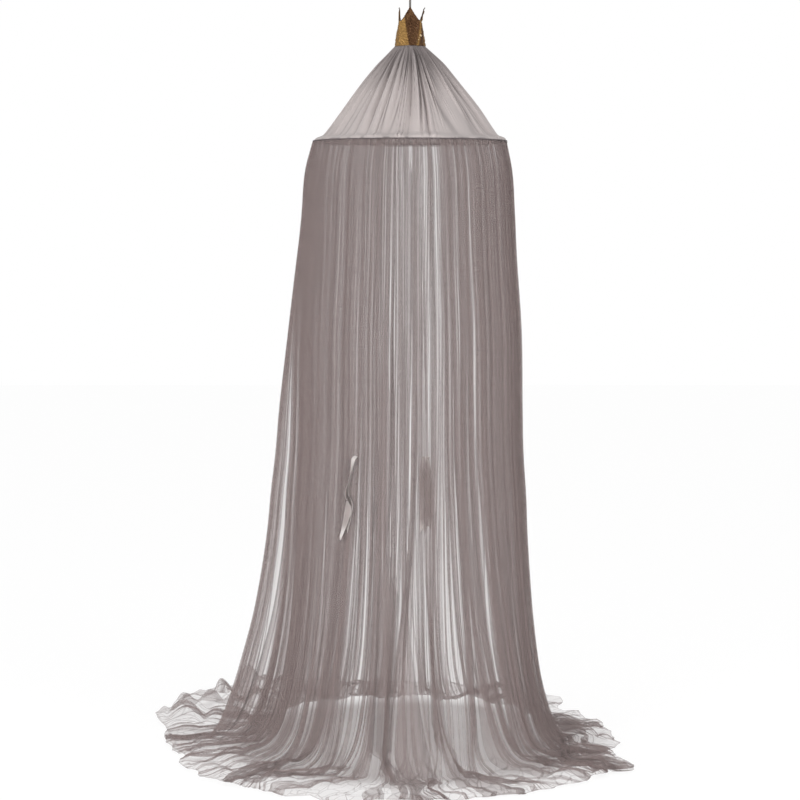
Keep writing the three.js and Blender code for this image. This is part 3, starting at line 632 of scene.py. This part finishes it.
SEAM_RADIUS = 0.3005
SEAM_Z = -0.5395
CONE_RADII = [0.0245, 0.031, 0.0400, 0.0455, 0.0515, 0.0800, 0.1210, 0.2060, 0.2650, 0.2900, SEAM_RADIUS]
CONE_Z = [-0.2030, -0.2250, -0.2420, -0.2480, -0.2545, -0.2900, -0.3370, -0.4380, -0.5080, -0.5318, SEAM_Z]
CONE_OUT = (0.70, 0.71)  # outward from the cone's face: radius and height
# Heights of the cone's folds, and how far in their middle line lies
WIDE_FOLD, MIDDLE_FOLD, FINE_FOLD, PUCKER = 0.0105, 0.0075, 0.0030, 0.0017
FOLD_MIDDLE = 0.0095


def cone_sheet(name, columns, rows, folds, inward=0.0):
    """The cone's cloth; folds scales the height of its folds, and inward sets it inside the cover."""
    along = np.concatenate([[0], np.cumsum(np.hypot(np.diff(CONE_RADII), np.diff(CONE_Z)))])
    share = (np.linspace(0, 1, rows) ** 1.1)[:, None]
    turn = np.linspace(0, 2 * math.pi, columns, endpoint=False)[None, :]
    # Wide folds run down to the hoop, middle and fine ones end on uneven lines, puckers lie at the seam
    bend = 0.06 * ring_noise(46, 3, 9)(turn, 2.5 * share)
    ends = 0.66 + 0.3 * ring_noise(44, 5, 14)(turn)
    fine_ends = 0.52 + 0.3 * ring_noise(45, 9, 30)(turn)
    wide = np.abs(ring_noise(41, 8, 22)(turn + bend, share)) * smoothstep(1.15, 0.7, share)
    middle = np.abs(ring_noise(42, 24, 52)(turn + bend, 1.5 * share))
    middle = middle * smoothstep(ends + 0.3, ends - 0.2, share)
    fine = np.abs(ring_noise(43, 60, 120)(turn + bend, 2 * share))
    fine = fine * smoothstep(fine_ends + 0.3, fine_ends - 0.1, share)
    pucker = np.abs(ring_noise(47, 50, 95)(turn)) * smoothstep(0.93, 1.0, share)
    start = smoothstep(0.08, 0.32, share)
    height = (WIDE_FOLD * wide + MIDDLE_FOLD * middle) * start
    height = height + FINE_FOLD * fine * (0.35 + 0.65 * start) + PUCKER * pucker
    height = height - FOLD_MIDDLE * start * smoothstep(0.985, 0.92, share)
    height = folds * height * smoothstep(1.0, 0.985, share) - inward
    radius = curve_through(along / along[-1], CONE_RADII)(share) + height * CONE_OUT[0]
    z = curve_through(along / along[-1], CONE_Z)(share) + height * CONE_OUT[1]
    piece = grid_object(name, around(radius, np.degrees(turn), z), True)
    # Painted shade: darker in the valleys of the wide, middle and fine folds, and near the crown
    valley = np.exp(-((wide / 0.10) ** 2)) * start * smoothstep(1.05, 0.75, share)
    between = np.exp(-((middle / 0.09) ** 2)) * smoothstep(ends + 0.15, ends - 0.3, share) * 0.85
    valley = np.maximum(valley, between)
    between = np.exp(-((fine / 0.12) ** 2)) * smoothstep(fine_ends + 0.1, fine_ends - 0.2, share) * 0.7
    point_values(piece, "valley", np.maximum(valley, between))
    point_values(piece, "near_crown", smoothstep(0.62, 0.08, share + 0 * turn))
    return piece


def cloth_material(name, color, painted_shade_color):
    """Close-woven cloth, with painted shade: the point values valley and near_crown darken it, in its fold
    valleys and near the crown.
    """
    material, tree, principled = new_material(name, color, 0.85)
    valley = read_values(tree, "valley")
    near = read_values(tree, "near_crown")
    weave = noise(tree, stretch(tree, (700, 700, 700)), 1.0, 2.0)
    blotch = noise(tree, stretch(tree, (14, 14, 9)), 1.0, 3.0)
    # Painted shade from valley and near_crown, with random blotches
    shade = math_node(tree, "MULTIPLY_ADD", near, 0.62, math_node(tree, "MULTIPLY", valley, 0.55), True)
    shade = math_node(tree, "ADD", shade, math_node(tree, "MULTIPLY_ADD", blotch, 0.2, -0.1), 0.0, True)
    base_color(tree, principled, shade, color, painted_shade_color)
    principled.inputs["Sheen Weight"].default_value = 0.2
    principled.inputs["Specular IOR Level"].default_value = 0.25
    bump(tree, principled, weave, 0.2, 0.0004)
    return material


cone_look = cloth_material("cone_look", (184, 175, 173), (92, 83, 84))
cone = cone_sheet("cone_cloth", 900, 110, 1.0)
cone.data.materials.append(cone_look)
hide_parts("cone_cover")
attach(cone, "canopy")

lining_look = cloth_material("lining_look", (176, 168, 166), (120, 112, 112))
lining = cone_sheet("cone_lining_cloth", 240, 30, 0.25, 0.0065)
lining.data.materials.append(lining_look)
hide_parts("cone_lining")
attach(lining, "canopy")


# The crown: one wrap of foil with a point over each side, creased and crumpled

CROWN_BASE_RADIUS = 0.0475
CROWN_TOP_HALF = 0.033  # half the width of its square top
CROWN_BODY = 0.075  # height up to the notches
CROWN_POINT = 0.046  # height of a point above them
CROWN_LEAN = 0.012  # how far the right point leans out
TIP_EDGE = 1.02  # the points' dark edges lie above this share of the body's height
# Creases: angle at the base and at the top, in degrees, how wide, and how far out in millimetres
CREASES = [
    (-5, -27, 17, -5.5), (29, 47, 13, 3.0), (60, 82, 12, -3.5), (-38, -46, 14, 2.0), (112, 104, 14, 2.0),
    (-82, -76, 18, -2.5), (-118, -112, 14, 1.8), (150, 158, 20, -3.0), (-152, -148, 16, 1.5),
    (178, 186, 16, -1.5),
]
crumple = [
    (wave_noise(61, 9, 2.5, 6), 0.0013),
    (wave_noise(62, 9, 7, 15), 0.0010),
    (wave_noise(63, 9, 18, 36), 0.0004),
]


def crown_dents(degrees, up, rise):
    """How far the foil stands out of its smooth form: creases from base to top, and crumples."""
    dent = 0 * up
    fading = smoothstep(1.55, 0.9, up)
    for base, top, width, depth in CREASES:
        away = np.abs(wrapped(degrees - (base + (top - base) * up))) / width
        press = depth * 0.001 * np.clip(1 - away, 0, 1) * fading
        dent = dent + press * (0.55 + 0.45 * smoothstep(0, 0.3, up))
    for ripple, depth in crumple:
        dent = dent + depth * (np.abs(ripple(np.radians(degrees) * 4, up * 6)) - 0.4)
    return dent * np.where(rise < 0.004, 0.8, 1.0)


def crown_painted_shade(degrees, up, share):
    """Where the foil is darkened: by painted shade and a painted dark reflection from the front's valley to
    the right side, but for the ridge, left bright as a painted highlight, less past the right crease, and a
    little at the back; and along the points' top edges."""
    left = -5 - 22 * up
    ridge, right = 29 + 18 * up, 60 + 22 * up
    shaded_foil = smoothstep(left - 3, left + 4, degrees) * (1 - 0.9 * np.exp(-(((degrees - ridge) / 4.5) ** 2)))
    shaded_foil = shaded_foil * (1 - 0.6 * smoothstep(right - 2, right + 5, degrees))
    at_back = 0.55 * smoothstep(120, 150, np.abs(degrees))
    shaded_foil = np.maximum(shaded_foil * smoothstep(100, 80, degrees), at_back)
    return np.maximum(shaded_foil, smoothstep(0.945, 0.975, share + 0 * degrees) * (up > TIP_EDGE))


def crown_wall(name, columns, rows, out, margin=0.0, low=0.0, high=1.0, first=-180.0, last=180.0):
    """The wrap's surface, round at its base and square at its top, moved out by out. It ends margin under the
    wrap's top edge, goes from the share low to high of that height, and from the angle first to last."""
    closed = last - first >= 360
    degrees = np.linspace(first, last, columns, endpoint=not closed)[None, :]
    share = np.linspace(low, high, rows)[:, None]
    turn = np.radians(degrees)
    tip = 1 - np.abs((degrees + 45) % 90 - 45) / 45
    rise = (CROWN_BODY + CROWN_POINT * tip) * share - margin * share
    power = 2 + 5 * smoothstep(0, 1, rise / CROWN_BODY)
    half = CROWN_BASE_RADIUS + (CROWN_TOP_HALF - CROWN_BASE_RADIUS) * np.clip(rise / CROWN_BODY, 0, 1)
    radius = half * (np.abs(np.cos(turn)) ** power + np.abs(np.sin(turn)) ** power) ** (-1 / power)
    up = np.clip(rise / CROWN_BODY, 0, 1.6)
    dent = crown_dents(degrees, up, rise)
    points = around(radius + dent + out, degrees, CROWN_BASE_Z + rise)
    above = np.clip(rise - CROWN_BODY, 0, 1) / CROWN_POINT
    points[..., 0] += CROWN_LEAN * above * (np.abs(degrees - 90) < 45)
    piece = grid_object(name, points, closed)
    point_values(piece, "dent", np.clip(0.5 + dent / 0.009, 0, 1))
    point_values(piece, "place", crown_painted_shade(degrees, up, share))
    return piece


def foil_material(name, bright, shaded_foil, pale):
    """Crumpled metal foil. Of the point values, dent is under a half where it is pressed in, and place is 1
    where the foil is darkened, mostly as painted shade and a painted dark reflection. The most raised
    crumples get a painted glint."""
    material, tree, principled = new_material(name, bright, 0.36, 0.75)
    dent = read_values(tree, "dent")
    patch = noise(tree, stretch(tree, (42, 42, 24)), 1.0, 4.0, 0.6)
    place = read_values(tree, "place")
    # Painted shade and reflection where place is 1, with random patches
    shade = math_node(tree, "ADD", place, math_node(tree, "MULTIPLY_ADD", patch, 0.9, -0.45), 0.0, True)
    # Painted glint: the most raised crumples turn pale
    glint = math_node(tree, "MULTIPLY_ADD", dent, 9.0, -8.2, True)
    foil = mix_color(tree, shade, linear(*bright), linear(*shaded_foil))
    tree.links.new(mix_color(tree, glint, foil, linear(*pale)), principled.inputs["Base Color"])
    fine = noise(tree, stretch(tree, (160, 160, 160)), 1.0, 5.0, 0.6)
    tree.links.new(math_node(tree, "MULTIPLY_ADD", fine, 0.3, 0.25), principled.inputs["Roughness"])
    bump(tree, principled, fine, 0.5, 0.0015)
    return material


# Gold, the darker colour of the painted shade and reflection, and the pale colour of the painted glint
foil_look = foil_material("foil_look", (138, 106, 59), (76, 50, 28), (214, 190, 152))
crown = crown_wall("crown_foil", 400, 90, 0.0)
crown.data.materials.append(foil_look)
thick = crown.modifiers.new("thickness", "SOLIDIFY")
thick.thickness = 0.0008
thick.offset = 0
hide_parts("crown_shell")
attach(crown, "canopy")

backing_look = grained_material(
    "backing_look", (92, 66, 44), 0.75, (220, 220, 60), (70, 48, 32), (112, 82, 56), 4.0
)[0]
backing = crown_wall("crown_backing", 400, 90, -0.0016, 0.0012)
backing.data.materials.append(backing_look)
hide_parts("crown_lining")
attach(backing, "canopy")

strip = crown_wall("crown_strip", 24, 60, 0.0012, 0.0, 0.04, 0.58, 171.6, 188.4)
strip.data.materials.append(foil_look)
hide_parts("crown_seam_strip")
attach(strip, "canopy")


# What the hoop lies in, the seam over it and the tape under it

CASING_SIZE = 0.0055  # half the thickness of the cloth tube that the hoop lies in
SEAM_CORD = (0.3016, -0.5400, 0.0018)  # radius, height and half the thickness of the cord over the seam
TAPE_SECTION = [(0.2885, -0.5475), (0.2985, -0.5475), (0.2985, -0.5490), (0.2885, -0.5490)]
casing_look = cloth_material("casing_look", (156, 147, 146), (112, 103, 103))
turn = np.linspace(0, 2 * math.pi, 720, endpoint=False)
gathers = np.abs(ring_noise(71, 60, 140)(turn))[None, :]
lumps = ring_noise(72, 40, 90)(turn)[None, :]


def hoop_ring(name, section, extra, node, look):
    """A ring round the hoop; section is a list of (radius, z) round its cross-section, extra swells it."""
    section = np.array(section, float)
    radius = section[:, 0][:, None] + extra
    points = around(radius, np.degrees(turn)[None, :], section[:, 1][:, None] + 0 * extra)
    rows, columns = points.shape[:2]
    faces = grid_faces(rows, columns, True) + closing_faces(rows, columns)
    piece = mesh_object(name, points.reshape(-1, 3), faces)
    piece.data.materials.append(look)
    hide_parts(node)
    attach(piece, "canopy")
    return piece


def circle_section(radius, z, size, count):
    angles = np.linspace(0, 2 * math.pi, count, False)
    return [(radius + size * math.cos(a), z + size * math.sin(a)) for a in angles]


section = circle_section(HOOP_RADIUS, HOOP_Z, CASING_SIZE, 16)
casing = hoop_ring("casing_cloth", section, 0.0003 * gathers, "hoop_casing", casing_look)
# Painted shade between the casing's gathers
point_values(casing, "valley", np.tile(smoothstep(0.5, 0.05, gathers), (16, 1)))
thread_look = grained_material(
    "thread_look", (86, 77, 78), 0.85, (500, 500, 500), (66, 58, 59), (104, 95, 96)
)[0]
section = circle_section(*SEAM_CORD, 10)
hoop_ring("seam_cord", section, 0.0009 * lumps, "seam_piping", thread_look)
hoop_ring("tape_cloth", TAPE_SECTION, 0.0004 * gathers, "net_heading_tape", casing_look)


# Tie ribbons, folded over where they are sewn to the net

satin_look, tree, principled = new_material("satin_look", (168, 158, 155), 0.4)
# Painted sheen: stretched noise mixes the satin between a darker and a lighter colour
sheen = noise(tree, stretch(tree, (120, 120, 25)), 1.0, 3.0)
light = read_values(tree, "light")
satin = mix_color(tree, sheen, linear(138, 127, 125), linear(158, 148, 145))
# Painted highlight: the point value light mixes the satin towards a pale colour
tree.links.new(mix_color(tree, light, satin, linear(214, 208, 205)), principled.inputs["Base Color"])
principled.inputs["Sheen Weight"].default_value = 0.2
weft = noise(tree, stretch(tree, (60, 60, 1400)), 1.0, 2.0)
bump(tree, principled, weft, 0.25, 0.0003)

RIBBON_WIDTH = 0.022
RIBBON_TOP = 0.5  # the fall of the place that they are sewn to
RIBBON_PLACES = [0, 0.28, 0.47, 0.62, 0.78, 1]  # shares of a tail's length


def ribbon(name, degrees, side, tails, node):
    """side is -1 on the left leaf, outside it, and 1 on the right leaf, inside it. Each tail: length, its
    distance from the net, how far its face is turned and how far it has drifted at each place, in degrees and
    millimetres, and how strong a painted highlight lightens its two ends."""
    top, land = TOP_RADII[side], landing_radius(degrees, side)

    def wall(fall):
        return top + (land - top) * flare_at(fall)

    across = np.linspace(-0.5, 0.5, 9)[None, :]
    down = np.linspace(0, 1, 70)[:, None]
    # Each tail's end is cut to a V, and a painted highlight lightens it along its edges
    notch = 0.014 * smoothstep(0.9, 1.0, down) * (1 - 2 * np.abs(across))
    edge = 0.35 * smoothstep(0.36, 0.48, np.abs(across))
    rise = smoothstep(0.0, 0.04, down)
    rows, lights = [], []
    for number, (length, clear, faces, drifts, painted_shine) in enumerate(tails):
        drop = length * down - notch
        fall = RIBBON_TOP + drop / LENGTH
        face = np.radians(curve_through(RIBBON_PLACES, faces)(down))
        curl = 0.0012 * np.sin(9 * down + number)
        radius = wall(fall) - side * (0.006 + (clear - 0.006) * rise)
        radius = radius + across * RIBBON_WIDTH * np.sin(face) + curl
        drift = 0.001 * curve_through(RIBBON_PLACES, drifts)(down)
        sideways = across * RIBBON_WIDTH * np.cos(face) + drift
        z = NET_TOP_Z - LENGTH * RIBBON_TOP - drop
        tail = around(radius, degrees + np.degrees(sideways / wall(RIBBON_TOP)), z)
        # Painted highlight at both ends of each tail; light holds the painted highlight
        ends = painted_shine[0] * smoothstep(0.22, 0.0, down) + painted_shine[1] * smoothstep(0.8, 0.92, down)
        tail_light = np.clip(np.maximum(edge, ends), 0, 1) + 0 * radius
        rows.append(tail if number else tail[::-1])
        lights.append(tail_light if number else tail_light[::-1])
    piece = grid_object(name, np.concatenate(rows))
    point_values(piece, "light", np.concatenate(lights))
    thick = piece.modifiers.new("thickness", "SOLIDIFY")
    thick.thickness = 0.0006
    piece.data.materials.append(satin_look)
    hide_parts(node)
    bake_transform(piece)
    length = sum(tail[0] for tail in tails)


LEFT_TAILS = [
    (0.255, 0.019, (30, 72, 86, 8, 22, 50), (0, -12, -19, -13, -20, -38), (1.0, 0.9)),
    (0.232, 0.013, (48, 80, 80, 30, 38, 50), (2, -11, -16, -9, -11, -20), (0.7, 0.6)),
]
RIGHT_TAILS = [
    (0.232, 0.017, (30, 10, 5, 25, 10, 35), (-2, -9, -7, -9, -7, -10), (0.9, 0.6)),
    (0.222, 0.013, (-50, -10, -25, -5, -20, -30), (6, 8, 11, 9, 10, 7), (1.0, 0.6)),
]
ribbon("ribbon_left", -26.5, -1, LEFT_TAILS, "tie_ribbon_left")
ribbon("ribbon_right", 7.3, 1, RIGHT_TAILS, "tie_ribbon_right")


# The cord and what it hangs from

def rope(name, points, size, sides=24, closed=False, pitch=0.017):
    """A rope of three twisted strands along points."""
    points = np.asarray(points, float)
    steps = np.linalg.norm(np.diff(points, axis=0), axis=1)
    along = np.concatenate([[0], np.cumsum(steps)])
    angle = np.linspace(0, 2 * math.pi, sides, endpoint=False)
    strand = np.abs(np.cos(1.5 * (angle[None, :] - 2 * math.pi * along[:, None] / pitch)))
    piece = tube(name, points, size * (0.84 + 0.16 * strand**0.6), closed)
    point_values(piece, "strand", strand)
    return piece


rope_look, tree, principled = new_material("rope_look", (117, 114, 109), 0.8)
strand_shading = read_values(tree, "strand")
fuzz = noise(tree, stretch(tree, (900, 900, 900)), 1.0, 2.0)
# Painted shade: darker in the grooves between the strands and lighter on their crests, with random fuzz
depth = math_node(tree, "MULTIPLY_ADD", fuzz, 0.3, math_node(tree, "MULTIPLY_ADD", strand_shading, 0.8, -0.1), True)
base_color(tree, principled, depth, (78, 75, 71), (128, 125, 120))
bump(tree, principled, fuzz, 0.3, 0.0003)

CORD_SIZE = 0.0035  # half its thickness
CORD_LOW, CORD_HIGH = -0.1877, -0.0965
cord_route = [(0, 0, z) for z in np.linspace(CORD_LOW, CORD_HIGH, 120)]
cord = rope("hanging_rope", cord_route, CORD_SIZE)
# The knots: how far their turns reach up and to the sides, and to the front, and half their rope's thickness
KNOT_REACH, KNOT_DEPTH, KNOT_SIZE = 0.0018, 0.0030, 0.0034


def knot(name, middle, height):
    """A tight overhand knot round a standing line; height stretches it."""
    t = np.linspace(0, 2 * math.pi, 140, endpoint=False)
    x = KNOT_REACH * (np.sin(t) + 2 * np.sin(2 * t))
    z = KNOT_REACH * height * (np.cos(t) - 2 * np.cos(2 * t))
    y = -KNOT_DEPTH * np.sin(3 * t)
    return rope(name, np.stack([x, y, middle + z], axis=1), KNOT_SIZE, 20, True, 0.012)


upper_knot = knot("loop_knot", -0.0852, 1.25)
stopper = knot("stopper_knot", -0.2225, 1.0)
# The loop: height and radius of its bend, length of its legs, how far they close towards the knot
LOOP_Z, LOOP_BEND = -0.0569, 0.007
LEG_LENGTH, LEG_CLOSING = 0.0165, 0.0027
angles = np.linspace(0, math.pi, 40)
bend = [(LOOP_BEND * math.cos(a), 0, LOOP_Z + LOOP_BEND * math.sin(a)) for a in angles]
shares = np.linspace(0.05, 1, 24)
legs = [(LOOP_BEND - LEG_CLOSING * smoothstep(0, 1, s), LOOP_Z - LEG_LENGTH * s) for s in shares]
loop_route = [(x, 0, z) for x, z in legs[::-1]] + bend + [(-x, 0, z) for x, z in legs]
loop = rope("loop_rope", loop_route, CORD_SIZE)
for piece, node, body in (
    (cord, "hanging_cord", "cord"),
    (upper_knot, "cord_knot", "cord"),
    (loop, "cord_loop", "cord"),
    (stopper, "cord_stopper", "canopy"),
):
    piece.data.materials.append(rope_look)
    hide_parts(node)
    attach(piece, body)


# Fittings that keep their CAD shapes

steel_look, tree, principled, brushed = grained_material(
    "steel_look", (176, 178, 180), 0.3, (300, 300, 60), (150, 152, 155), (196, 198, 200), 3.0, 1.0
)
tree.links.new(math_node(tree, "MULTIPLY_ADD", brushed, 0.25, 0.18), principled.inputs["Roughness"])
enamel_look, tree, principled, orange_peel = grained_material(
    "enamel_look", (233, 231, 226), 0.35, (260, 260, 260), (228, 226, 221), (238, 236, 231)
)
principled.inputs["Coat Weight"].default_value = 0.3
bump(tree, principled, orange_peel, 0.08, 0.0003)
plastic_look = grained_material(
    "plastic_look", (216, 214, 208), 0.5, (90, 90, 90), (208, 206, 200), (222, 220, 214), 3.0
)[0]
fitting_looks = {
    "ceiling_plate": enamel_look,
    "ceiling_screw_left": steel_look,
    "ceiling_screw_right": steel_look,
    "ceiling_hook": steel_look,
    "hanging_ring": steel_look,
    "gather_binding": steel_look,
}
for number in range(1, 5):
    fitting_looks[f"hoop_rod_{number}"] = steel_look
    fitting_looks[f"hoop_sleeve_{number}"] = plastic_look
for node, look in fitting_looks.items():
    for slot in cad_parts[node].material_slots:
        slot.material = look


# Camera, floor, light

CAMERA_PLACE = (-0.0314, -7.2, -0.76)
CAMERA_DOWN = 4.7  # degrees
camera_data = bpy.data.cameras.new("camera")
camera_data.lens = 103.05
camera_data.sensor_width = 36
camera = bpy.data.objects.new("camera", camera_data)
camera.location = CAMERA_PLACE
camera.rotation_euler = (math.radians(90 - CAMERA_DOWN), 0, 0)
scene.collection.objects.link(camera)
scene.camera = camera

bpy.ops.mesh.primitive_plane_add(size=30, location=(0, 0, FLOOR_Z))
ground = bpy.context.object
ground.name = "ground"
ground_look, tree, principled = new_material("ground_look", (245, 245, 245), 0.9)
glow = add_node(tree, "ShaderNodeEmission", {"Color": (1, 1, 1, 1), "Strength": 1.09})
# The floor glows white to the camera; under the net it keeps its shade, up to GLOW_FROM from the middle
GLOW_FROM, GLOW_OVER, GLOW_SHARE = 0.52, 0.14, 0.75  # metres, metres, share
place = add_node(tree, "ShaderNodeTexCoord").outputs["Object"]
away = add_node(tree, "ShaderNodeVectorMath", {0: place}, operation="LENGTH").outputs["Value"]
outside = math_node(tree, "MULTIPLY_ADD", away, 1 / GLOW_OVER, -GLOW_FROM / GLOW_OVER, True)
share = math_node(tree, "MULTIPLY", outside, GLOW_SHARE)
mixed = mix_shader(tree, math_node(tree, "MULTIPLY", seen_directly(tree), share), principled, glow)
tree.links.new(mixed.outputs[0], tree.nodes["Material Output"].inputs["Surface"])
ground.data.materials.append(ground_look)

world = bpy.data.worlds.new("studio")
scene.world = world
world.use_nodes = True
tree = world.node_tree
soft = tree.nodes["Background"]
soft.inputs["Color"].default_value = (1, 1, 1, 1)
soft.inputs["Strength"].default_value = 0.7
white = add_node(tree, "ShaderNodeBackground", {"Color": (1, 1, 1, 1), "Strength": 1.0})
mixed = mix_shader(tree, seen_directly(tree), soft, white)
tree.links.new(mixed.outputs[0], tree.nodes["World Output"].inputs["Surface"])


def lamp(name, location, target, size, power):
    """A round lamp that faces its target."""
    data = bpy.data.lights.new(name, "AREA")
    data.shape = "DISK"
    data.size = size
    data.energy = power
    made = bpy.data.objects.new(name, data)
    made.location = location
    direction = np.array(target, float) - np.array(location, float)
    pitch = math.atan2(math.hypot(direction[0], direction[1]), -direction[2])
    made.rotation_euler = (pitch, 0, math.atan2(-direction[0], direction[1]))
    scene.collection.objects.link(made)


lamp("key", (-2.6, -4.6, -1.3), (0, 0, -2.1), 2.2, 132)
lamp("fill", (3.4, -3.6, 0.6), (0, 0, -0.9), 2.5, 62)

scene.view_settings.view_transform = "Standard"
scene.cycles.transparent_max_bounces = 128
scene.cycles.max_bounces = 4
